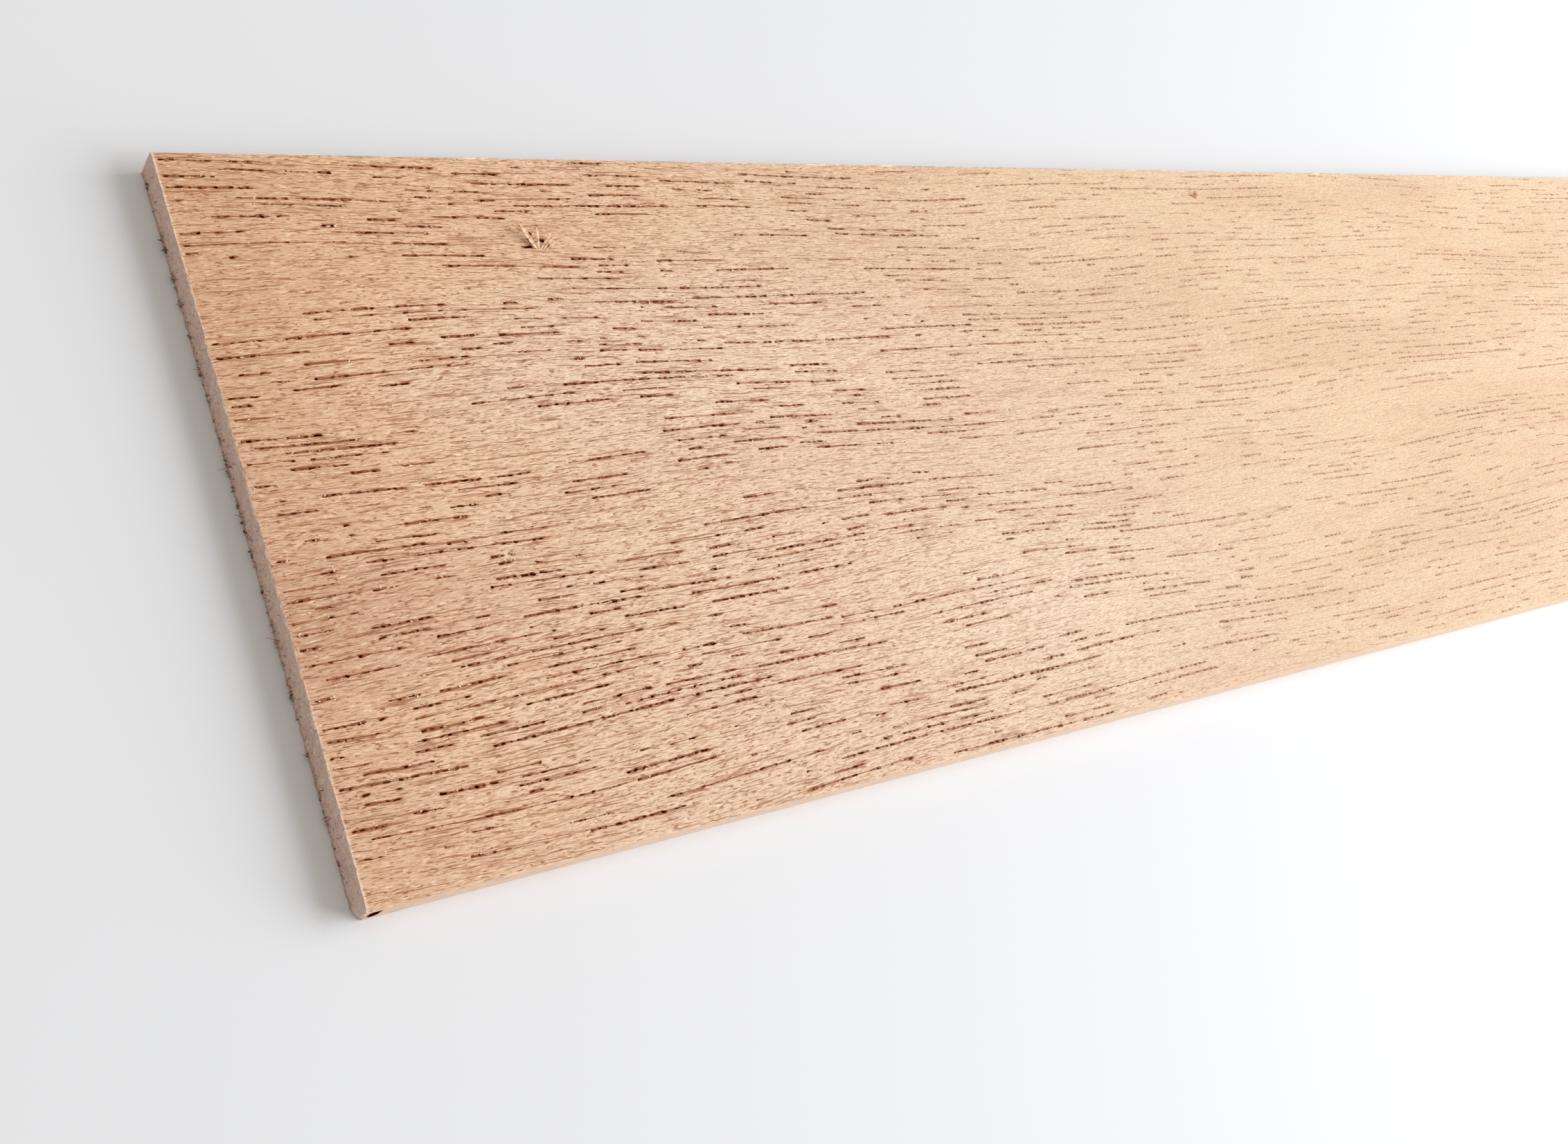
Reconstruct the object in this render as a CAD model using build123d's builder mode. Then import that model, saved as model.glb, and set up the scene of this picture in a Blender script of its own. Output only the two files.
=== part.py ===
"""Balsa sheet for model gliders: one planed strip of wood with a sawn end.

The sheet is a single piece of solid wood. The other nodes are the torn fragments that the saw
and the planer left on it, each still held at its root: slivers lifted from the face, raised
fibres along the far arris and whisker-like burrs on the sawn end.

Row frame: X runs along the grain, Y across the sheet towards its far edge, Z up. The origin is
the centre of the bottom face. The rough sawn end is at -X. All sizes are in millimetres.
"""

from build123d import *
import math
import os

# Driving dimensions of the sheet: half of a 36 in length, 4 in wide, 3/16 in thick.
sheet_length = 457.2
sheet_width = 101.6
sheet_thickness = 4.76
arris_ease = 0.12  # chamfer left by sanding the four long arrises

# The near lower corner of the sawn end is knocked off at a slant.
worn_corner_across = 1.6
worn_corner_along = 1.0
worn_corner_height = 3.0

# A three cornered chip has fallen out of the near edge, close to the sawn end.
notch_length = 1.5
notch_height = 2.2
notch_depth = 0.25
notch_from_end = 0.9
notch_below_top = 1.3
notch_rise_share = 0.1  # how far its far corner sits above its first one, as a share of the height
notch_tip_share = 0.8  # where its lowest point is, as a share of the length

# Lifted splinters on the top face, measured from the sawn end and from the far edge.
tuft_from_end = 51.8
tuft_from_far_edge = 15.4
splinter_from_end = 203.7
splinter_from_far_edge = 6.6
sliver_root_width = 0.55
sliver_tip_width = 0.18
sliver_root_thickness = 0.16
sliver_tip_thickness = 0.08
sliver_root_step = 0.3  # the roots overlap, because the slivers tear up from one strip
root_sink = 0.3  # how far a fragment is drawn below its seat before it is trimmed flush

# Slivers of the tuft: heading in the face and lift above it in degrees, length in mm.
tuft_slivers = [
    {"heading": 131, "lift": 20, "length": 4.7},
    {"heading": 110, "lift": 32, "length": 3.4},
    {"heading": 41, "lift": 41, "length": 3.1},
    {"heading": 20, "lift": 35, "length": 2.1},
]

# Slivers of the small splinter by the far edge.
splinter_slivers = [
    {"heading": 117, "lift": 30, "length": 1.8},
    {"heading": 84, "lift": 22, "length": 1.2},
]

# Fibres raised along the far arris: distance from the sawn end, and length.
far_fibres = [
    {"from_end": 43.4, "length": 5.0},
    {"from_end": 106.0, "length": 9.0},
    {"from_end": 119.5, "length": 8.0},
]
far_fibre_width = 0.30
far_fibre_shoulder = 0.6  # where the taper to each tip starts, as a share of the half length
far_fibre_rise = 0.14

# Burrs on the sawn end: place as a share of the width from the far edge, height above the bottom
# face, length, droop below level and sideways heading, both in degrees, and root radius.
end_burrs = [
    {"across": 0.026, "height": 2.9, "length": 1.1, "droop": 12, "aside": 34, "radius": 0.07},
    {"across": 0.107, "height": 1.0, "length": 0.8, "droop": 20, "aside": -25, "radius": 0.16},
    {"across": 0.118, "height": 0.8, "length": 0.6, "droop": 5, "aside": 18, "radius": 0.18},
    {"across": 0.161, "height": 1.0, "length": 0.5, "droop": 25, "aside": -10, "radius": 0.14},
    {"across": 0.195, "height": 0.7, "length": 0.6, "droop": 10, "aside": 12, "radius": 0.13},
    {"across": 0.292, "height": 1.0, "length": 0.9, "droop": 18, "aside": -28, "radius": 0.09},
    {"across": 0.429, "height": 1.9, "length": 1.7, "droop": 14, "aside": 4, "radius": 0.10},
    {"across": 0.494, "height": 1.3, "length": 1.9, "droop": 22, "aside": -38, "radius": 0.06},
    {"across": 0.656, "height": 1.4, "length": 1.8, "droop": 16, "aside": -30, "radius": 0.06},
    {"across": 0.719, "height": 0.9, "length": 0.6, "droop": 12, "aside": 20, "radius": 0.10},
    {"across": 0.799, "height": 0.8, "length": 0.7, "droop": 8, "aside": -15, "radius": 0.10},
    {"across": 0.874, "height": 0.7, "length": 0.6, "droop": 15, "aside": 25, "radius": 0.12},
]
burr_tip_share = 0.35  # tip radius over root radius
burr_sides = 6

# Faces and edges of the sheet that the features are placed from.
sawn_x = -sheet_length / 2
near_y = -sheet_width / 2
far_y = sheet_width / 2
top_z = sheet_thickness


def pointing(heading, lift):
    """Unit vector turned by heading in the XY plane, from +X, and raised by lift."""
    h = math.radians(heading)
    v = math.radians(lift)
    return Vector(math.cos(h) * math.cos(v), math.sin(h) * math.cos(v), math.sin(v))


def loft_slivers(first_root, slivers):
    """Flat tapered splinters that rise side by side from first_root along the grain."""
    for n, sliver in enumerate(slivers):
        direction = pointing(sliver["heading"], sliver["lift"])
        across = Vector(0, 0, 1).cross(direction)
        root = first_root + Vector(sliver_root_step * n, 0, 0)
        start = root - direction * root_sink
        tip = root + direction * sliver["length"]
        with BuildSketch(Plane(origin=start, x_dir=across, z_dir=direction)) as torn_root:
            Rectangle(sliver_root_width, sliver_root_thickness)
        with BuildSketch(Plane(origin=tip, x_dir=across, z_dir=direction)) as torn_tip:
            Rectangle(sliver_tip_width, sliver_tip_thickness)
        loft([torn_root.sketch.face(), torn_tip.sketch.face()], ruled=True)


def loft_burr(burr):
    """A tapered six-sided fibre that stands out of the sawn end."""
    direction = pointing(180 + burr["aside"], -burr["droop"])
    root = Vector(sawn_x, far_y - burr["across"] * sheet_width, burr["height"])
    with BuildSketch(Plane(origin=root - direction * root_sink, z_dir=direction)) as thick_end:
        RegularPolygon(burr["radius"], burr_sides)
    with BuildSketch(Plane(origin=root + direction * burr["length"], z_dir=direction)) as thin_end:
        RegularPolygon(burr["radius"] * burr_tip_share, burr_sides)
    loft([thick_end.sketch.face(), thin_end.sketch.face()], ruled=True)


# The sheet itself, lying on its bottom face with the grain along X.
with BuildPart() as balsa_sheet:
    with BuildSketch(Plane.XY):
        Rectangle(sheet_length, sheet_width)
    extrude(amount=sheet_thickness)
    chamfer(balsa_sheet.edges().filter_by(Axis.X), length=arris_ease)

    # The slant that takes the corner off: it meets each edge at its own distance.
    corner_slant = Plane(
        origin=(sawn_x, near_y, worn_corner_height),
        z_dir=(1 / worn_corner_along, 1 / worn_corner_across, 1 / worn_corner_height),
    )
    split(bisect_by=corner_slant, keep=Keep.TOP)

    # The chip, as a shallow triangular notch in the near edge.
    with BuildSketch(Plane.XZ.offset(-near_y)):
        with Locations((sawn_x + notch_from_end, top_z - notch_below_top)):
            Polygon(
                (0, 0),
                (notch_length, notch_height * notch_rise_share),
                (notch_length * notch_tip_share, -notch_height),
                align=None,
            )
    extrude(amount=-notch_depth, mode=Mode.SUBTRACT)
balsa_sheet.part.label = "balsa_sheet"

# Slivers torn up from the top face, fanning out from one root.
with BuildPart() as lifted_tuft:
    loft_slivers(Vector(sawn_x + tuft_from_end, far_y - tuft_from_far_edge, top_z), tuft_slivers)
    split(bisect_by=Plane.XY.offset(top_z), keep=Keep.TOP)
lifted_tuft.part.label = "lifted_tuft"

# A smaller pair of slivers near the far edge.
with BuildPart() as small_splinter:
    loft_slivers(
        Vector(sawn_x + splinter_from_end, far_y - splinter_from_far_edge, top_z),
        splinter_slivers,
    )
    split(bisect_by=Plane.XY.offset(top_z), keep=Keep.TOP)
small_splinter.part.label = "small_splinter"

# Fibres that stand proud along the far arris, seated on the top face beside its chamfer.
with BuildPart() as far_arris_fibres:
    for fibre in far_fibres:
        middle_x = sawn_x + fibre["from_end"] + fibre["length"] / 2
        seat_y = far_y - arris_ease - far_fibre_width / 2
        tip = fibre["length"] / 2
        shoulder = tip * far_fibre_shoulder
        side = far_fibre_width / 2
        with BuildSketch(Plane(origin=(middle_x, seat_y, top_z))):
            Polygon(
                (-tip, 0),
                (-shoulder, -side),
                (shoulder, -side),
                (tip, 0),
                (shoulder, side),
                (-shoulder, side),
                align=None,
            )
        extrude(amount=far_fibre_rise)
far_arris_fibres.part.label = "far_arris_fibres"

# Whiskers that the saw left on the end, trimmed flush with it.
with BuildPart() as sawn_end_burrs:
    for burr in end_burrs:
        loft_burr(burr)
    split(bisect_by=Plane.YZ.offset(sawn_x), keep=Keep.BOTTOM)
sawn_end_burrs.part.label = "sawn_end_burrs"

os.makedirs("parts", exist_ok=True)
for piece in (balsa_sheet, lifted_tuft, small_splinter, far_arris_fibres, sawn_end_burrs):
    export_step(piece.part, f"parts/{piece.part.label}.step")
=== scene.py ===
"""A balsa sheet with a rough sawn end, lying on a pale table.

Everything is in metres, in the row frame: X along the grain from the sawn end, Y across the
sheet towards its far edge, Z up from the table. Values in millimetres are multiplied by mm.
"""

import math
import random

import bmesh
import bpy
from mathutils import Matrix, Vector, noise
from mathutils.geometry import delaunay_2d_cdt


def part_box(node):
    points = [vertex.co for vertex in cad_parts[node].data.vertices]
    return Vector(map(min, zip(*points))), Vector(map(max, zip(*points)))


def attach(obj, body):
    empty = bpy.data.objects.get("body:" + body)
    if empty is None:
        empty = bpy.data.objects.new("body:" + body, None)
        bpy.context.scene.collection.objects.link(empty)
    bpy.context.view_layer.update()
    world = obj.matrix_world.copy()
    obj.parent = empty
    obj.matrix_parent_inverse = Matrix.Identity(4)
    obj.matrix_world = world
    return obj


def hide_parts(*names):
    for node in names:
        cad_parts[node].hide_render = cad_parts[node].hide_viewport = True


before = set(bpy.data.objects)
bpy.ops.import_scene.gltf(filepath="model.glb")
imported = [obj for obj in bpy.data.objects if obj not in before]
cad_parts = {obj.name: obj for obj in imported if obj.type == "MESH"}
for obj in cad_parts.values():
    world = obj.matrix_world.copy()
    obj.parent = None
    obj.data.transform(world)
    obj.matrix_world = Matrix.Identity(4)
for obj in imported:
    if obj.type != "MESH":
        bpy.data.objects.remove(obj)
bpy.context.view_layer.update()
mm = 0.001

sheet_low, sheet_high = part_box("balsa_sheet")
sawn_x, near_y = sheet_low.x, sheet_low.y
far_y, top_z = sheet_high.y, sheet_high.z
length, width, thickness = sheet_high - sheet_low

# The same places in mm, in which the patterns and the small features are given.
sawn_mm, near_mm, far_mm, top_mm = sawn_x / mm, near_y / mm, far_y / mm, top_z / mm
half_length, half_width = length / mm / 2, width / mm / 2


def linear(code):
    """sRGB hex colour as the linear RGBA that shaders take."""
    parts = [int(code[i : i + 2], 16) / 255 for i in (1, 3, 5)]
    return [c / 12.92 if c <= 0.04045 else ((c + 0.055) / 1.055) ** 2.4 for c in parts] + [1]


# ---------------------------------------------------------------- camera, light and table


def place_camera():
    """Stands over the sawn end and looks down along the sheet, rolled to one side."""
    far_sawn_corner = Vector((sawn_x, far_y, top_z))
    look = Vector((0.6030, 0.2403, -0.7607)).normalized()
    right = look.cross(Vector((0.1268, 0.9125, 0.3888))).normalized()
    data = bpy.data.cameras.new("camera")
    data.lens = 40.07
    data.sensor_width = 36
    data.clip_start = 0.01
    camera = bpy.data.objects.new("camera", data)
    turn = Matrix((right, right.cross(look), -look)).transposed()
    place = far_sawn_corner + Vector((-77.6, -129.7, 191.3)) * mm
    camera.matrix_world = Matrix.Translation(place) @ turn.to_4x4()
    bpy.context.scene.collection.objects.link(camera)
    bpy.context.scene.camera = camera


def light_studio():
    """A big window beyond the clean end, on the near side, and an even pale room."""
    world = bpy.data.worlds.new("room")
    world.use_nodes = True
    back = world.node_tree.nodes["Background"]
    back.inputs["Color"].default_value = linear("#FFFCF6")
    back.inputs["Strength"].default_value = 0.53
    bpy.context.scene.world = world
    data = bpy.data.lights.new("window", "AREA")
    data.size = 1.3
    data.energy = 25.5
    data.color = linear("#F2F6FF")[:3]
    window = bpy.data.objects.new("window", data)
    window.location = (0.95, -0.35, 0.7)
    window.rotation_euler = (-window.location).to_track_quat("-Z", "Y").to_euler()
    bpy.context.scene.collection.objects.link(window)
    bpy.context.scene.view_settings.view_transform = "Standard"


def lay_table():
    """A plain square table top, 12 m across, so that its edges stay far away."""
    bm = bmesh.new()
    bmesh.ops.create_grid(bm, x_segments=1, y_segments=1, size=6)
    table = made_object("table", bm, [white_laminate()])


# ---------------------------------------------------------------- materials


def add_node(tree, kind, inputs=None, **settings):
    """Adds a node, sets its properties, and links or sets its inputs by name or number."""
    made = tree.nodes.new(kind)
    for name, value in settings.items():
        setattr(made, name, value)
    for key, value in (inputs or {}).items():
        if isinstance(value, bpy.types.NodeSocket):
            tree.links.new(value, made.inputs[key])
        else:
            made.inputs[key].default_value = value
    return made


def new_material(name):
    """A new material, its node tree and its shader."""
    material = bpy.data.materials.new(name)
    material.use_nodes = True
    tree = material.node_tree
    return material, tree, tree.nodes["Principled BSDF"]


def white_laminate():
    """Plain pale table top: matt, so it shows soft shade and no reflections."""
    material, _, shader = new_material("white_laminate")
    shader.inputs["Base Color"].default_value = linear("#E7E7E7")
    shader.inputs["Roughness"].default_value = 0.6
    return material


# The grain wanders across the sheet in two long waves: height, length along X and across Y, in
# mm, and start.
grain_waves = [(0.9, 210, 160, 0.0), (0.35, 83, 47, 0.3)]


def grain_bend(x, y):
    """How far across, in mm, the grain line of row y has wandered at x."""
    return sum(
        height * math.sin(math.tau * (x / along + y / across) + start)
        for height, along, across, start in grain_waves
    )


def grain_space(tree):
    """Object coordinates in mm: as they are, and with the wander of the grain taken out of Y."""
    place = add_node(tree, "ShaderNodeTexCoord").outputs["Object"]
    scaled = add_node(tree, "ShaderNodeVectorMath", {0: place, "Scale": 1 / mm}, operation="SCALE")
    place = scaled.outputs[0]
    split = add_node(tree, "ShaderNodeSeparateXYZ", {0: place})
    across = split.outputs["Y"]
    for height, along, over, start in grain_waves:
        rate = (math.tau / along, math.tau / over, 0)
        turn = add_node(tree, "ShaderNodeVectorMath", {0: place, 1: rate}, operation="DOT_PRODUCT")
        late = add_node(tree, "ShaderNodeMath", {0: turn.outputs["Value"], 1: start}, operation="ADD")
        wave = add_node(tree, "ShaderNodeMath", {0: late.outputs[0]}, operation="SINE")
        terms = {0: wave.outputs[0], 1: -height, 2: across}
        across = add_node(tree, "ShaderNodeMath", terms, operation="MULTIPLY_ADD").outputs[0]

    # A short wobble, a few millimetres long, keeps the fibres from lying ruler straight.
    shape = add_node(tree, "ShaderNodeMapping", {"Vector": place, "Scale": (0.35, 0.8, 0.8)})
    wobble = add_node(
        tree, "ShaderNodeTexNoise", {"Vector": shape.outputs[0], "Scale": 1.0, "Detail": 2.0}
    )
    terms = {0: wobble.outputs["Fac"], 1: 0.55, 2: across}
    across = add_node(tree, "ShaderNodeMath", terms, operation="MULTIPLY_ADD").outputs[0]
    axes = {0: split.outputs["X"], 1: across, 2: split.outputs["Z"]}
    return place, add_node(tree, "ShaderNodeCombineXYZ", axes).outputs[0]


def streaks(tree, grain, along, across, detail=2.0, start=0.0):
    """A pattern of streaks of a given length along the grain and width across it, in mm."""
    fineness = (1 / along, 1 / across, 1 / across)
    shape = add_node(
        tree, "ShaderNodeMapping", {"Vector": grain, "Location": (start, start, 0), "Scale": fineness}
    )
    made = add_node(
        tree,
        "ShaderNodeTexNoise",
        {"Vector": shape.outputs[0], "Scale": 1.0, "Detail": detail, "Roughness": 0.55},
    )
    return made.outputs["Fac"]


def patch_reach(tree, place, from_end, from_far, along, across):
    """0 in the middle of a patch of the face and 1 at its rim; place and radii in mm."""
    middle = (sawn_mm + from_end, far_mm - from_far, 0)
    away = add_node(tree, "ShaderNodeVectorMath", {0: place, 1: middle}, operation="SUBTRACT")
    shares = {0: away.outputs[0], 1: (1 / along, 1 / across, 0)}
    away = add_node(tree, "ShaderNodeVectorMath", shares, operation="MULTIPLY")
    reach = add_node(tree, "ShaderNodeVectorMath", {0: away.outputs[0]}, operation="LENGTH")
    return reach.outputs["Value"]


def stain(tree, under, colour, mask, clear, full, share, fade=None):
    """Lays a hex colour over another where a mask goes from clear to full, up to a share of it.

    fade, from 0 to 1, weakens the stain from place to place.
    """
    spread = add_node(
        tree,
        "ShaderNodeMapRange",
        {"Value": mask, 1: clear, 2: full, 3: 0.0, 4: share},
        interpolation_type="SMOOTHSTEP",
    )
    cover = spread.outputs[0]
    if fade is not None:
        cover = add_node(tree, "ShaderNodeMath", {0: cover, 1: fade}, operation="MULTIPLY").outputs[0]
    laid = add_node(tree, "ShaderNodeMix", {0: cover, 6: under, 7: linear(colour)}, data_type="RGBA")
    return laid.outputs[2]


def mottle(tree, under, mask, low, high, darkest, palest):
    """Darkens and lightens a colour by a pattern, from one factor to the other."""
    factor = add_node(
        tree,
        "ShaderNodeMapRange",
        {"Value": mask, 1: low, 2: high, 3: darkest, 4: palest},
        interpolation_type="SMOOTHSTEP",
    )
    sides = {0: 1.0, 6: under, 7: factor.outputs[0]}
    laid = add_node(tree, "ShaderNodeMix", sides, data_type="RGBA", blend_type="MULTIPLY")
    return laid.outputs[2]


def planed_balsa():
    """Planed balsa, unfinished: dull, pale tan with pink-brown streaks and dark open pores.

    Single fibres are some 0.04 mm wide, too fine to show, so they are drawn in bundles 0.2 mm wide.
    """
    material, tree, shader = new_material("planed_balsa")
    place, grain = grain_space(tree)
    axes = add_node(tree, "ShaderNodeSeparateXYZ", {0: place}).outputs
    along, high = axes["X"], axes["Z"]
    halo = add_node(tree, "ShaderNodeAttribute", attribute_name="pore_halo").outputs["Fac"]
    deep = add_node(tree, "ShaderNodeAttribute", attribute_name="pore_depth").outputs["Fac"]

    # Streaks and pores are strongest by the sawn end, and pale towards the clean end.
    fading = add_node(
        tree,
        "ShaderNodeMapRange",
        {"Value": along, 1: sawn_mm + 40, 2: sawn_mm + 200, 3: 1.0, 4: 0.3},
        interpolation_type="SMOOTHSTEP",
    )
    fade = fading.outputs[0]

    # The ground goes from a pinker tan by the sawn end to a paler, yellower tan: painted sheen of the
    # window beyond the clean end.
    ground = stain(tree, linear("#E7BA92"), "#ECCDA9", along, sawn_mm, sawn_mm + 200, 1.0)
    broad = streaks(tree, grain, 60, 9, 1.0)
    ground = stain(tree, ground, "#D6A484", broad, 0.42, 0.66, 0.25)

    # Browner wood runs in from the sawn end. The paler, greyer patches in the middle are painted sheen,
    # the window's glare on the face.
    heart = patch_reach(tree, place, 0, 66, 55, 15)
    ground = stain(tree, ground, "#B98062", heart, 1.0, 0.15, 0.42)
    ground = stain(tree, ground, "#B98062", along, sawn_mm + 22, sawn_mm + 2, 0.22)
    # Painted sheen: whitish patches where the window glares on the middle of the face.
    for share, *where in ((0.36, 85, 85, 130, 130), (0.3, 68, 34, 62, 20), (0.25, 118, 80, 50, 22)):
        sheen_patch = patch_reach(tree, place, *where)
        ground = stain(tree, ground, "#FFE9D2", sheen_patch, 1.0, 0.15, share)

    # Pink-brown streaks, most of them along the rows of pores.
    bands = streaks(tree, grain, 12, 0.6, 2.0, 3.1)
    near_pore = add_node(tree, "ShaderNodeMath", {0: halo, 1: 0.16, 2: bands}, operation="MULTIPLY_ADD")
    ground = stain(tree, ground, "#BF7F55", near_pore.outputs[0], 0.56, 0.76, 0.6, fade)

    # Fine fibre: browner in between, and pale where it catches the light.
    fibre = streaks(tree, grain, 1.8, 0.2, 1.0, 17.0)
    ground = stain(tree, ground, "#BE885E", fibre, 0.52, 0.36, 0.55, fade)
    flecks = streaks(tree, grain, 1.5, 0.24, 1.0, 63.0)
    ground = stain(tree, ground, "#FFE4C3", flecks, 0.55, 0.74, 0.55, fade)
    suede = streaks(tree, grain, 0.8, 0.2, 1.0, 5.0)
    ground = mottle(tree, ground, suede, 0.36, 0.64, 0.93, 1.06)

    # Thin brown lines and short dashes of smaller pores, darkest along the rows of pores.
    lines = streaks(tree, grain, 6.5, 0.22, 1.0, 9.7)
    near_line = add_node(tree, "ShaderNodeMath", {0: halo, 1: 0.05, 2: lines}, operation="MULTIPLY_ADD")
    ground = stain(tree, ground, "#9C5A34", near_line.outputs[0], 0.59, 0.67, 0.68, fade)
    on_row = add_node(tree, "ShaderNodeMath", {0: lines, 1: 0.8, 2: halo}, operation="MULTIPLY_ADD")
    ground = stain(tree, ground, "#8A4826", on_row.outputs[0], 1.18, 1.32, 0.85, fade)
    dashes = streaks(tree, grain, 1.1, 0.22, 1.0, 41.0)
    ground = stain(tree, ground, "#98552F", dashes, 0.61, 0.67, 0.75, fade)

    # Along the sawn arris the face is painted paler, a painted highlight where the crushed arris
    # catches the light; the sides are painted paler too, a painted highlight of the light on them.
    ground = stain(tree, ground, "#FFE6CC", along, sawn_mm + 0.6, sawn_mm + 0.2, 0.55)
    ground = stain(tree, ground, "#F6DEC9", high, top_mm, top_mm - 0.3, 0.5)

    # The pores: painted shade that deepens with depth, red-brown walls and nearly black floors, and no
    # gloss inside.
    wall = stain(tree, ground, "#8A4624", deep, 0.008, 0.035, 1.0, fade)
    colour = stain(tree, wall, "#280700", deep, 0.04, 0.14, 1.0, fade)
    gloss = add_node(
        tree,
        "ShaderNodeMapRange",
        {"Value": deep, 1: 0.0, 2: 0.05, 3: 0.3, 4: 0.0},
        interpolation_type="SMOOTHSTEP",
    )
    tree.links.new(gloss.outputs[0], shader.inputs["Specular IOR Level"])
    tree.links.new(colour, shader.inputs["Base Color"])

    # The fine fibre stands up, and the lines and dashes are sunk.
    raised = add_node(tree, "ShaderNodeMath", {0: fibre, 1: suede}, operation="ADD").outputs[0]
    sunk = add_node(tree, "ShaderNodeMath", {0: dashes, 1: lines}, operation="ADD").outputs[0]
    relief = add_node(tree, "ShaderNodeMath", {0: sunk, 1: -0.7, 2: raised}, operation="MULTIPLY_ADD")
    bump = add_node(
        tree,
        "ShaderNodeBump",
        {"Height": relief.outputs[0], "Strength": 1.0, "Distance": 0.08 * mm},
    )
    tree.links.new(bump.outputs[0], shader.inputs["Normal"])
    shader.inputs["Roughness"].default_value = 0.75
    return material


def sawn_grain():
    """The sawn end: crushed, fuzzy cell ends, duller and greyer than the planed face.

    The cut pores are dots some 1.4 mm apart, and the end is painted darker along its lower edge,
    painted shade where it meets the table.
    """
    material, tree, shader = new_material("sawn_end_grain")
    place, _ = grain_space(tree)
    clouds = streaks(tree, place, 6, 1.5, 3.0)
    colour = stain(tree, linear("#DABDAD"), "#CFAF9F", clouds, 0.35, 0.7, 1.0)
    dots = add_node(tree, "ShaderNodeTexVoronoi", {"Vector": place, "Scale": 0.7, "Randomness": 1.0})
    colour = stain(tree, colour, "#6A4636", dots.outputs["Distance"], 0.16, 0.06, 0.45)
    high = add_node(tree, "ShaderNodeSeparateXYZ", {0: place}).outputs["Z"]
    # Painted shade: the end darkens over its lowest 0.9 mm, where it meets the table.
    colour = stain(tree, colour, "#8A6A5C", high, 0.9, 0.0, 0.4)
    fuzz = streaks(tree, place, 0.35, 0.35, 4.0)
    colour = mottle(tree, colour, fuzz, 0.3, 0.7, 0.84, 1.12)
    tree.links.new(colour, shader.inputs["Base Color"])
    bump = add_node(
        tree, "ShaderNodeBump", {"Height": fuzz, "Strength": 0.9, "Distance": 0.15 * mm}
    )
    tree.links.new(bump.outputs[0], shader.inputs["Normal"])
    shader.inputs["Roughness"].default_value = 0.9
    shader.inputs["Specular IOR Level"].default_value = 0.2
    return material


def torn_fibre(name, pale, brown):
    """Loose fibre of the same wood: matt, browner in patches."""
    material, tree, shader = new_material(name)
    _, grain = grain_space(tree)
    browner = streaks(tree, grain, 1.2, 0.5, 2.0)
    colour = stain(tree, linear(pale), brown, browner, 0.42, 0.62, 1.0)
    tree.links.new(colour, shader.inputs["Base Color"])
    shader.inputs["Roughness"].default_value = 0.8
    shader.inputs["Specular IOR Level"].default_value = 0.25
    return material


# ---------------------------------------------------------------- the sheet


def made_object(name, bm, materials):
    """Turns a bmesh into an object at the origin, with its place in its mesh."""
    mesh = bpy.data.meshes.new(name)
    bm.to_mesh(mesh)
    bm.free()
    for material in materials:
        mesh.materials.append(material)
    made = bpy.data.objects.new(name, mesh)
    bpy.context.scene.collection.objects.link(made)
    return made


pore_count = 9800  # keeps the sheet under 200,000 triangles
pore_seed = 7
edge_margin = 0.6  # mm of whole wood left between a pore and the sheet's edges
halo_reach = 0.44  # mm, half the width of the brown halo along a row of pores
row_room = 0.9  # mm kept clear on each side of a row
row_gap = 0.5  # mm kept clear beyond each end of a row
row_tail = 1.6  # mm at the end of a row that hold no new pore
lane = 0.08  # mm, the fineness with which places across the sheet are told apart


def open_pore(rng, at, strength):
    """Stations of one torn open pore, from tip to tip: distance, half width and depth."""
    stations = [(at, 0.0, 0.01)]
    at += rng.uniform(0.08, 0.16)
    wide = min(0.22, rng.lognormvariate(-2.05, 0.35)) * (0.75 + 0.35 * strength)
    deep = rng.uniform(0.10, 0.26)
    for _ in range(rng.choice((1, 2, 2, 2, 3)) if wide > 0.1 else 1):
        stations.append((at, wide * rng.uniform(0.75, 1.15), deep * rng.uniform(0.8, 1.1)))
        at += rng.uniform(0.22, 0.5)
    stations.append((at - rng.uniform(0.05, 0.12), 0.0, 0.01))
    return stations


def pore_row(rng, reach, strength):
    """The pores along a row, in bursts, each as its stations."""
    pores = []
    at = rng.uniform(0.0, 0.3)
    while at < reach - row_tail:
        for _ in range(rng.randint(1, 2 + round(6 * strength))):
            if at > reach - row_tail:
                break
            pores.append(open_pore(rng, at, strength))
            at = pores[-1][-1][0] + rng.uniform(0.08, 0.6)
        at += rng.uniform(0.4, 5 - 4 * strength)
    return pores


def row_is_free(taken, row, start, reach, room):
    """True where no other row of pores comes within room of this stretch of the row."""
    lanes = range(round((row - room) / lane), round((row + room) / lane) + 1)
    spans = [span for k in lanes for span in taken.get(k, ())]
    return not any(low < start + reach + row_gap and high > start - row_gap for low, high in spans)


def sawn_bow(y):
    """How far, in mm, the sawn end is hollowed at y."""
    return 0.3 * math.cos(math.pi * y * mm / width)


# Places of the two groups of lifted slivers, in mm.
tuft_x, tuft_y = sawn_mm + 51.8, far_mm - 15.4
flap_x, flap_y = sawn_mm + 203.7, far_mm - 6.6

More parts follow.
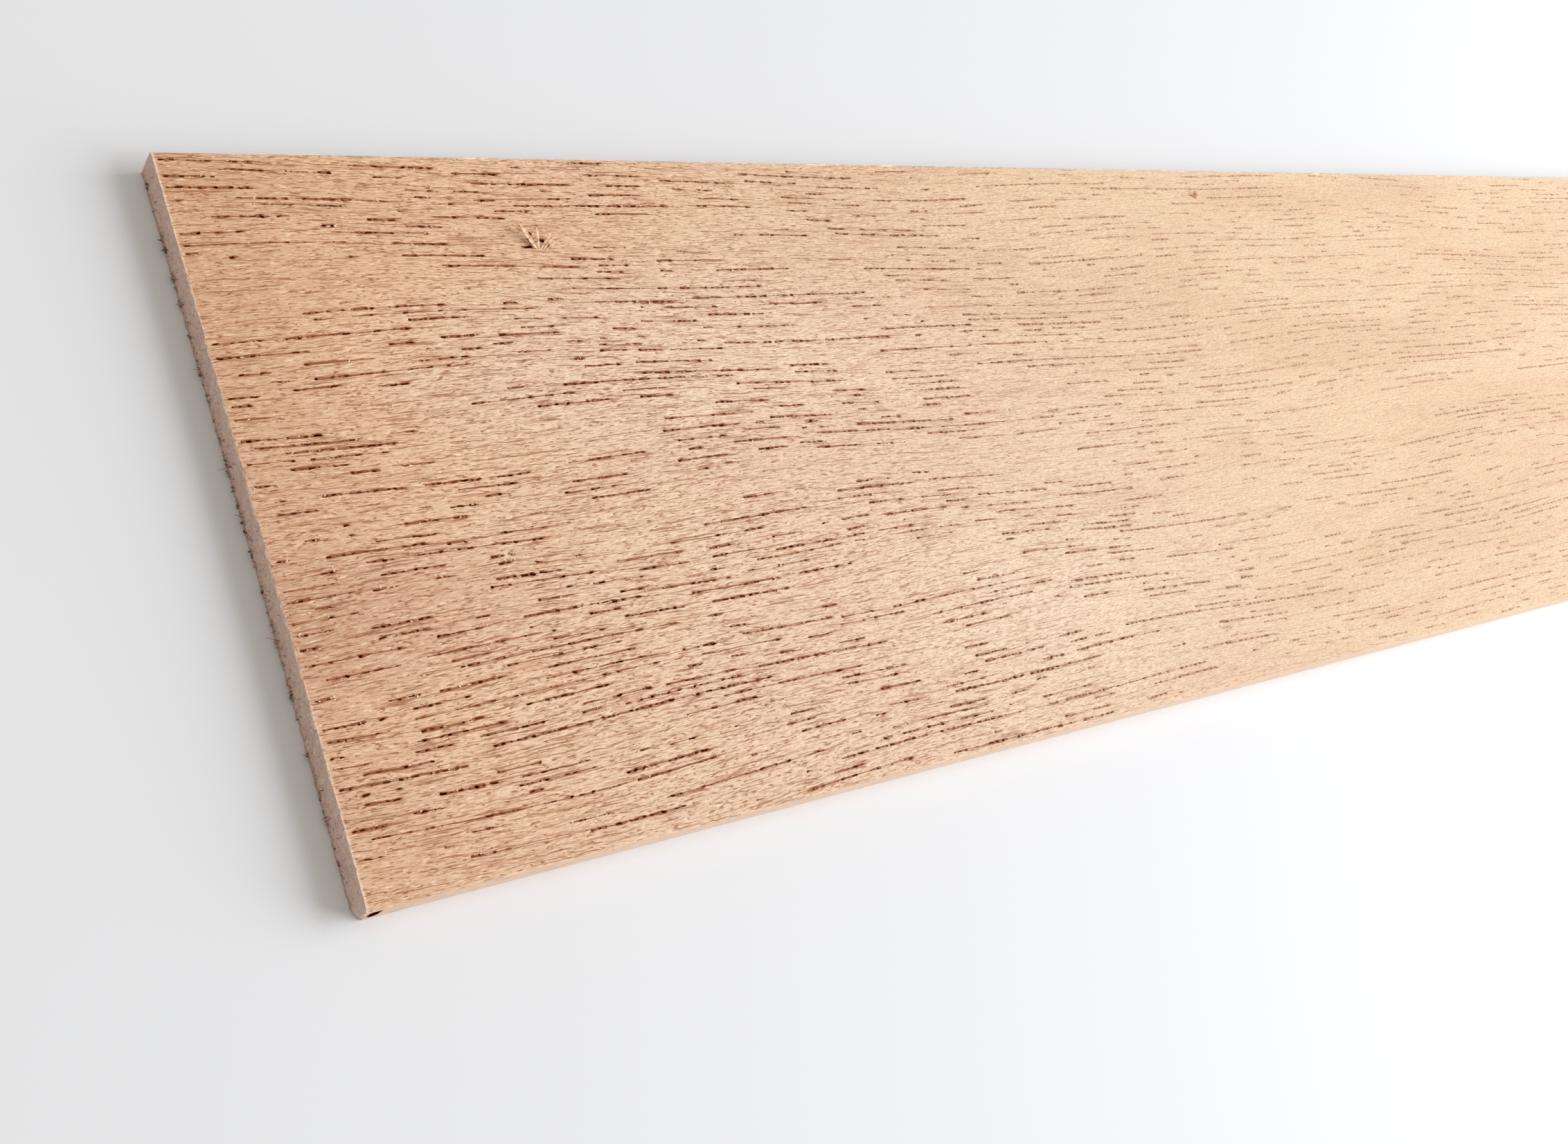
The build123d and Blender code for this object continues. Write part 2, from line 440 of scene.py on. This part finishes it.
# Pits that the slivers were torn out of, their dark floors painted shade for the gaps between the
# slivers: start along X, row across Y, and stations, in mm.
torn_pits = [
    (tuft_x - 1.3, tuft_y + 1.45, [(0, 0, 0), (0.3, 0.32, 0.25), (0.8, 0.36, 0.3), (1.1, 0, 0)]),
    (tuft_x - 1.4, tuft_y + 2.4, [(0, 0, 0), (0.3, 0.28, 0.2), (0.9, 0.3, 0.25), (1.2, 0, 0)]),
    (tuft_x + 0.4, tuft_y + 1.3, [(0, 0, 0), (0.4, 0.26, 0.2), (0.9, 0.3, 0.3), (1.3, 0, 0)]),
    (tuft_x - 2.6, tuft_y + 0.2, [(0, 0, 0), (0.7, 0.2, 0.25), (1.7, 0.22, 0.3), (2.4, 0, 0)]),
    (tuft_x + 1.3, tuft_y + 0.4, [(0, 0, 0), (0.3, 0.18, 0.2), (0.9, 0.2, 0.2), (1.3, 0, 0)]),
]


def scatter_rows(rng):
    """Rows of pores as (start along X, row across Y, length, pores), in mm, clear of each other."""
    taken = {}
    for start, row, stations in torn_pits:
        for k in range(-4, 5):
            span = (start - row_gap, start + stations[-1][0] + row_gap)
            taken.setdefault(round(row / lane) + k, []).append(span)
    rows = []
    count = 0
    while count < pore_count:
        row = rng.uniform(-half_width, half_width)
        reach = min(60, rng.lognormvariate(2.6, 0.85))
        start = rng.uniform(-half_length - 9, half_length - 3)
        crowd = noise.noise(Vector(((start + reach / 2) / 45, row / 5, 0.5)))
        if rng.random() > 0.5 + 1.3 * crowd:
            continue
        stop = min(start + reach, half_length - edge_margin)
        start = max(start, sawn_bow(row) + edge_margin - half_length)
        reach = stop - start
        if reach < 2 or not row_is_free(taken, row, start, reach, row_room):
            continue
        strays = (row + grain_bend(x, row) for x in (start, (start + stop) / 2, stop))
        if max(abs(y) for y in strays) > half_width - edge_margin:
            continue
        pores = pore_row(rng, reach, rng.random())
        taken.setdefault(round(row / lane), []).append((start, start + reach))
        rows.append((start, row, reach, pores))
        count += len(pores)
    return rows


def pore_outline(rng, start, row, stations):
    """Rim points of one pore, as a closed loop, and its floor points with depths."""
    floor = []
    upper, lower = [], []
    for along, half, depth in stations:
        x = start + along
        y = row + grain_bend(x, row) + half * rng.uniform(-0.35, 0.35)
        floor.append((x, y, depth))
        if half:
            upper.append((x + rng.uniform(-0.03, 0.03), y + half * rng.uniform(0.7, 1.2)))
            lower.append((x + rng.uniform(-0.03, 0.03), y - half * rng.uniform(0.7, 1.2)))
    rim = [floor[0][:2], *upper, floor[-1][:2], *reversed(lower)]
    return rim, floor[1:-1]


def halo_edge(start, row, reach):
    """A loop round a row of pores, in mm, where its brown halo has faded out."""
    steps = max(1, round(reach / 3))
    along = [start + reach * n / steps for n in range(steps + 1)]
    loop = [(start - halo_reach / 2, row), *((x, row + halo_reach) for x in along)]
    loop += [(start + reach + halo_reach / 2, row), *((x, row - halo_reach) for x in reversed(along))]
    return [(x, y + grain_bend(x, y)) for x, y in loop]


arris_ease = 0.12  # mm taken off the long arrises by sanding
ring_heights = (4.64, 4.5, 3.7, 3.3, 2.6, 1.6, 0.8, 0.12, 0.0)  # mm, drawn down in this order
chip_spans = {3.3: (1.2, 2.2), 2.6: (1.2, 2.2), 1.6: (1.6, 2.2)}  # mm from the sawn end, per ring
chip_inset = 0.14  # mm, shallow enough for its painted-dark floor to show from above
chip_shade = 0.35  # mm of pore depth whose painted shade its floor is given
worn_along, worn_across, worn_height = 1.0, 1.6, 3.0  # mm, the near lower corner of the sawn end
long_steps, clean_steps, sawn_steps = 170, 60, 260  # rim points on the sides and the two ends
rim_seed = 12


def sheet_outline(rng):
    """Corner to corner round the top face, with the sawn end nicked and slightly hollow, in mm."""
    near_steps = [0, 0.5, 0.9, 1.3, 1.7, 2.1, 2.6, 3.4]
    near_steps += [4 + (2 * half_length - 4) * n / long_steps for n in range(long_steps)]
    points = []
    for step in near_steps:
        fray = rng.uniform(0, 0.05) if step else 0
        points.append((step - half_length, arris_ease + fray - half_width))
    for n in range(clean_steps):
        y = -half_width + arris_ease + 2 * (half_width - arris_ease) * n / clean_steps
        points.append((half_length - (rng.uniform(0, 0.08) if n else 0), y))
    for n in range(long_steps):
        fray = rng.uniform(0, 0.06) if n else 0
        x = half_length - 2 * half_length * n / long_steps
        points.append((x, half_width - arris_ease - fray))
    for n in range(sawn_steps):
        y = half_width - arris_ease - 2 * (half_width - arris_ease) * n / sawn_steps
        nick = rng.uniform(0.08, 0.22) if rng.random() < 0.15 else rng.uniform(0, 0.05)
        points.append((0.08 - half_length + sawn_bow(y) + (nick if n else 0), y))
    return points


def shape_wall(vert, height, pore_depth):
    """Puts a vertex of a ring on the side of the sheet: chamfer, saw marks, chip, worn corner."""
    x, y = vert.co.x / mm, vert.co.y / mm
    eased = arris_ease if height == 0 else 0
    from_end = x + half_length
    vert[pore_depth] = 0
    if abs(y) > half_width - 0.5:
        y = math.copysign(half_width - eased, y)
        chip_from, chip_to = chip_spans.get(height, (1, 0))
        if y < 0 and chip_from <= from_end <= chip_to:
            # The chip's floor gets the painted shade of a pore floor.
            vert[pore_depth] = chip_shade
            y += chip_inset
    if from_end < 0.8:
        rough = noise.noise(Vector((y * 0.9, height * 0.8, 3.0)))
        rough += 0.5 * noise.noise(Vector((y * 2.7, height * 2.0, 9.0)))
        x = 0.6 * sawn_bow(y) - half_length + 0.18 * max(0, 0.5 + rough)
    past = (x + half_length) / worn_along + (y + half_width) / worn_across + height / worn_height
    if past < 1:
        shift = (1 - past) / (1 / worn_along + 1 / worn_across)
        x, y = x + shift, y + shift
    vert.co = Vector((x, y, height)) * mm


def pore_share(x):
    """Share of the full depth at x: the planer tore the pores open less towards the clean end."""
    past = (x + half_length - 60) / 140
    return 1 - 0.45 * min(1, max(0, past))


def build_sheet(rows):
    """The sheet as one closed mesh: a top face torn open in rows of pores, and rough sides."""
    rng = random.Random(rim_seed)
    points, edges, depths, halos = [], [], [], []

    def add_points(loop, halo, closed=None):
        """Adds points, and edges from each to the next if they form a line."""
        first = len(points)
        points.extend(p[:2] for p in loop)
        depths.extend(p[2] if len(p) > 2 else 0.0 for p in loop)
        halos.extend([halo] * len(loop))
        last = len(points) - 1
        if closed is not None:
            edges.extend((k, k + 1) for k in range(first, last))
        if closed:
            edges.append((last, first))

    add_points(sheet_outline(rng), 0.0, closed=True)
    pits = [(start, row, stations[-1][0], [stations]) for start, row, stations in torn_pits]
    for start, row, reach, pores in rows + pits:
        before = None
        for stations in pores:
            rim, floor = pore_outline(rng, start, row, stations)
            if before is not None:
                edges.append((before, len(points)))
            before = len(points) + len(floor) + 1
            add_points(rim, 1.0, closed=True)
            add_points(floor, 1.0, closed=False)
        add_points(halo_edge(start, row, reach), 0.0, closed=True)
    corners, _, faces, sources, _, _ = delaunay_2d_cdt(
        [Vector(p) for p in points], edges, [], 1, 1e-6
    )

    # Each corner is sunk by its pore's depth. New corners, where loops cross, stay on the face.
    bm = bmesh.new()
    pore_depth = bm.verts.layers.float.new("pore_depth")
    pore_halo = bm.verts.layers.float.new("pore_halo")
    made = []
    for corner, source in zip(corners, sources):
        depth = (depths[source[0]] if source else 0.0) * pore_share(corner.x)
        vert = bm.verts.new(Vector((corner.x, corner.y, thickness / mm - depth)) * mm)
        vert[pore_depth] = depth
        vert[pore_halo] = halos[source[0]] if source else 0.0
        made.append(vert)
    for face in faces:
        bm.faces.new([made[k] for k in face])
    bm.normal_update()

    # The rim of the top face is drawn down in rings to make the arris, the sides and the bottom.
    ring = [e for e in bm.edges if e.is_boundary]
    for height in ring_heights:
        down = bmesh.ops.extrude_edge_only(bm, edges=ring)["geom"]
        ring = [g for g in down if isinstance(g, bmesh.types.BMEdge)]
        for vert in (g for g in down if isinstance(g, bmesh.types.BMVert)):
            vert[pore_halo] = 0
            shape_wall(vert, height, pore_depth)
    bmesh.ops.contextual_create(bm, geom=ring)
    bmesh.ops.recalc_face_normals(bm, faces=bm.faces)

    # Both ends show end grain.
    for face in bm.faces:
        if abs(face.normal.x) > 0.7 and abs(face.calc_center_median().x) > length / 2 - 0.8 * mm:
            face.material_index = 1
    sheet = made_object("balsa_sheet_grain", bm, [planed_balsa(), sawn_grain()])
    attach(sheet, "root")
    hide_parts("balsa_sheet")


# ---------------------------------------------------------------- loose fibres


def fibre_shape(name, widths, curl, sides=4):
    """A closed fibre of unit size that runs along X from its root, and curls up by curl degrees.

    widths gives its width at evenly spaced rings, from root to tip.
    """
    bm = bmesh.new()
    upright = Matrix.Rotation(math.radians(90), 4, "Y")
    bmesh.ops.create_circle(bm, cap_ends=True, radius=0.5, segments=sides, matrix=upright)
    tip = bm.faces[:][0]
    bmesh.ops.scale(bm, verts=tip.verts, vec=(1, widths[0], widths[0]))
    steps = len(widths) - 1
    turn = Matrix.Rotation(-math.radians(curl) / steps, 3, "Y")
    forward = Vector((1, 0, 0))
    for before, after in zip(widths, widths[1:]):
        grown = bmesh.ops.extrude_face_region(bm, geom=[tip])["geom"]
        tip = next(g for g in grown if isinstance(g, bmesh.types.BMFace))
        forward = turn @ forward
        bmesh.ops.translate(bm, verts=tip.verts, vec=forward / steps)
        centre = Matrix.Translation(-tip.calc_center_median())
        shrink = after / before
        bmesh.ops.scale(bm, verts=tip.verts, vec=(shrink, shrink, shrink), space=centre)
    bmesh.ops.recalc_face_normals(bm, faces=bm.faces)
    mesh = bpy.data.meshes.new(name)
    bm.to_mesh(mesh)
    bm.free()
    return mesh


def add_fibre(bm, shape, root, heading, lift, size, roll=0):
    """Adds a copy of a fibre: root and size (length, width, thickness) in mm, angles in degrees."""
    turn = Matrix.Rotation(math.radians(heading), 4, "Z")
    turn @= Matrix.Rotation(-math.radians(lift), 4, "Y")
    turn @= Matrix.Rotation(math.radians(roll), 4, "X")
    place = Matrix.Translation(Vector(root) * mm) @ turn @ Matrix.Diagonal((*(v * mm for v in size), 1))
    copy = shape.copy()
    copy.transform(place)
    bm.from_mesh(copy)
    bpy.data.meshes.remove(copy)


def ride_sheet(name, bm, material, slot, *replaced):
    """Makes a piece that stays on the sheet, with its material, in place of the named nodes; slot is
    not used.
    """
    piece = made_object(name, bm, [material])
    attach(piece, "root")
    if replaced:
        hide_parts(*replaced)


def raise_tuft(torn, flap):
    """Slivers torn up from the face, held at one root, and a small flap near the far edge."""
    blade = fibre_shape("blade", (0.45, 0.7, 0.95, 1.0, 0.75, 0.15), -14, sides=6)
    spike = fibre_shape("spike", (1.0, 0.85, 0.6, 0.4, 0.15), -22, sides=5)
    # Shape, root's shift in X and Y, heading, lift, (length, width, thickness) and roll.
    slivers = [
        (blade, 0.0, 0.0, 131, 24, (4.7, 0.8, 0.13), 0),
        (blade, 0.2, 0.0, 101, 37, (3.4, 0.5, 0.15), 0),
        (blade, 0.5, 0.1, 50, 34, (3.3, 0.5, 0.12), 35),
        (blade, 0.8, 0.0, 40, 30, (3.0, 0.42, 0.12), 35),
        (blade, 1.1, -0.1, 27, 26, (2.5, 0.36, 0.12), 35),
        (spike, 1.2, -0.2, 15, 20, (2.0, 0.34, 0.1), 30),
        (spike, -0.2, 0.1, 124, 30, (3.6, 0.2, 0.1), 0),
        (spike, -0.2, 0.0, 140, 14, (2.4, 0.22, 0.08), 0),
    ]
    bm = bmesh.new()
    for shape, along, across, heading, lift, size, roll in slivers:
        root = (tuft_x + along, tuft_y + across, top_mm - 0.08)
        add_fibre(bm, shape, root, heading, lift, size, roll)
    ride_sheet("torn_tuft", bm, torn, "torn_balsa", "lifted_tuft")
    bm = bmesh.new()
    # The flap is in the browner wood, painted shade for its shaded side.
    add_fibre(bm, blade, (flap_x, flap_y, top_mm - 0.06), 117, 34, (1.8, 0.9, 0.12), -30)
    add_fibre(bm, spike, (flap_x + 0.2, flap_y, top_mm - 0.06), 84, 26, (1.2, 0.3, 0.1), 0)
    ride_sheet("torn_flap", bm, flap, "torn_balsa", "small_splinter")


def lay_arris_fibres(torn):
    """Pale fibres that lie along the far arris, three of them raised."""
    rng = random.Random(31)
    strand = fibre_shape("strand", (0.2, 0.8, 1.0, 1.0, 0.8, 0.2), 0)
    bm = bmesh.new()
    y = far_mm - 0.13
    for from_end, reach, thick in ((43.4, 5.0, 0.26), (106.0, 9.0, 0.26), (119.5, 8.0, 0.4)):
        add_fibre(bm, strand, (sawn_mm + from_end, y, top_mm + 0.02), 0, 0, (reach, 0.3, thick))
    for _ in range(150):
        reach = rng.uniform(0.8, 4)
        x = rng.uniform(sawn_mm + 2, -sawn_mm - 5)
        lift = rng.uniform(-1, 3)
        size = (reach, rng.uniform(0.08, 0.18), rng.uniform(0.06, 0.14))
        root = (x, y + rng.uniform(-0.02, 0.08), top_mm - 0.03)
        add_fibre(bm, strand, root, rng.uniform(-2, 2), lift, size)
    ride_sheet("far_arris_strands", bm, torn, "torn_balsa", "far_arris_fibres")


# Whiskers on the sawn end: share of the width from the far edge, height, length, droop, heading
# away from -X, and thickness.
whiskers = [
    (0.026, 2.9, 1.2, 12, 34, 0.12),
    (0.107, 1.0, 0.8, 20, -25, 0.30),
    (0.118, 0.8, 0.6, 5, 18, 0.34),
    (0.161, 1.0, 0.5, 25, -10, 0.26),
    (0.195, 0.7, 0.6, 10, 12, 0.24),
    (0.292, 1.0, 0.9, 18, -28, 0.16),
    (0.429, 1.9, 1.6, 14, 4, 0.18),
    (0.494, 1.3, 1.6, 22, -38, 0.11),
    (0.656, 1.4, 1.6, 16, -30, 0.11),
    (0.719, 0.9, 0.6, 12, 20, 0.18),
    (0.799, 0.8, 0.7, 8, -15, 0.18),
    (0.874, 0.7, 0.6, 15, 25, 0.22),
]


def fray_sawn_end(brown):
    """Whiskers, and short crushed fuzz that is thickest along the lower edge."""
    rng = random.Random(53)
    spike = fibre_shape("burr", (1.0, 0.9, 0.7, 0.45, 0.2), 18, sides=5)
    curl = fibre_shape("fuzz", (1.0, 0.8, 0.6, 0.3), 24, sides=4)
    crumb = fibre_shape("crumb", (0.5, 1.0, 0.8, 0.3), 30, sides=6)
    width_mm = width / mm
    lower_edge = (near_mm + 2, far_mm - 0.3)
    bm = bmesh.new()
    for share, height, reach, droop, aside, thick in whiskers:
        root = (sawn_mm + 0.15, far_mm - share * width_mm, height)
        size = (reach + 0.15, thick, thick)
        add_fibre(bm, spike, root, 180 + aside, -droop, size, rng.uniform(0, 90))
        for _ in range(3):
            place = (root[0], root[1] + rng.gauss(0, 0.4), rng.uniform(0.4, 0.9))
            wide = rng.uniform(0.2, 0.4)
            heading = 180 + rng.gauss(0, 25)
            lift = rng.uniform(-12, 0)
            add_fibre(bm, crumb, place, heading, lift, (rng.uniform(0.3, 0.45), wide, wide), 45)
    for _ in range(90):
        place = (sawn_mm + 0.2, rng.uniform(*lower_edge), rng.uniform(0.3, 0.8))
        wide = rng.uniform(0.14, 0.36)
        heading = 180 + rng.gauss(0, 35)
        lift = rng.uniform(-15, 20)
        add_fibre(bm, crumb, place, heading, lift, (rng.uniform(0.2, 0.45), wide, wide), 45)
    for _ in range(420):
        height = min(4.3, 0.45 + rng.expovariate(1.1))
        root = (sawn_mm + 0.25, rng.uniform(*lower_edge), height)
        size = (rng.uniform(0.3, 0.55), rng.uniform(0.05, 0.13), rng.uniform(0.05, 0.1))
        heading = 180 + rng.gauss(0, 50)
        lift = rng.uniform(-35, 30)
        add_fibre(bm, curl, root, heading, lift, size, rng.choice((0, 90, 180, 270)))
    ride_sheet("sawn_end_fuzz", bm, brown, "sawn_fibre", "sawn_end_burrs")


hair_tries = 4200  # those that would fall off an edge are left out
hair_share = 0.25  # the others are flat flakes


def scatter_face_hairs(rows, pale):
    """Tiny curled hairs and flakes that the plane raised beside the rows of pores."""
    rng = random.Random(71)
    hair = fibre_shape("hair", (1.0, 0.9, 0.7, 0.4), 95, sides=3)
    sliver = fibre_shape("flake", (0.4, 1.0, 0.9, 0.3), 25, sides=4)
    bm = bmesh.new()
    for _ in range(hair_tries):
        start, row, reach, _ = rng.choice(rows)
        x = start + rng.uniform(0, reach)
        y = row + grain_bend(x, row) + rng.gauss(0, 0.3)
        if abs(y) > far_mm - 0.4 or x > -sawn_mm - 1:
            continue
        heading = rng.choice((0, 180)) + rng.gauss(0, 35)
        if rng.random() < hair_share:
            size = (rng.uniform(0.3, 0.9), 0.06, 0.06)
            lift = rng.uniform(5, 35)
            roll = rng.choice((0, 70, -70))
            add_fibre(bm, hair, (x, y, top_mm - 0.03), heading, lift, size, roll)
        else:
            size = (rng.uniform(0.25, 0.7), rng.uniform(0.1, 0.2), 0.05)
            add_fibre(bm, sliver, (x, y, top_mm - 0.02), heading, rng.uniform(3, 20), size)
    ride_sheet("face_hairs", bm, pale, "torn_balsa")


# ---------------------------------------------------------------- the scene

place_camera()
light_studio()
lay_table()
pore_rows = scatter_rows(random.Random(pore_seed))
build_sheet(pore_rows)
sliver_wood = torn_fibre("torn_balsa_sliver", "#ECCBA9", "#C2906C")
# A browner copy of the sliver wood: painted shade for the flap's shaded side.
shaded_flap_wood = torn_fibre("torn_balsa_flap_shaded", "#CFA17E", "#B5835F")
raise_tuft(sliver_wood, shaded_flap_wood)
lay_arris_fibres(torn_fibre("torn_balsa_strand", "#F7E2C8", "#DDB491"))
fray_sawn_end(torn_fibre("sawn_fibre", "#B89C8C", "#684F44"))
scatter_face_hairs(pore_rows, torn_fibre("torn_balsa_hair", "#F4DBBE", "#DDB490"))
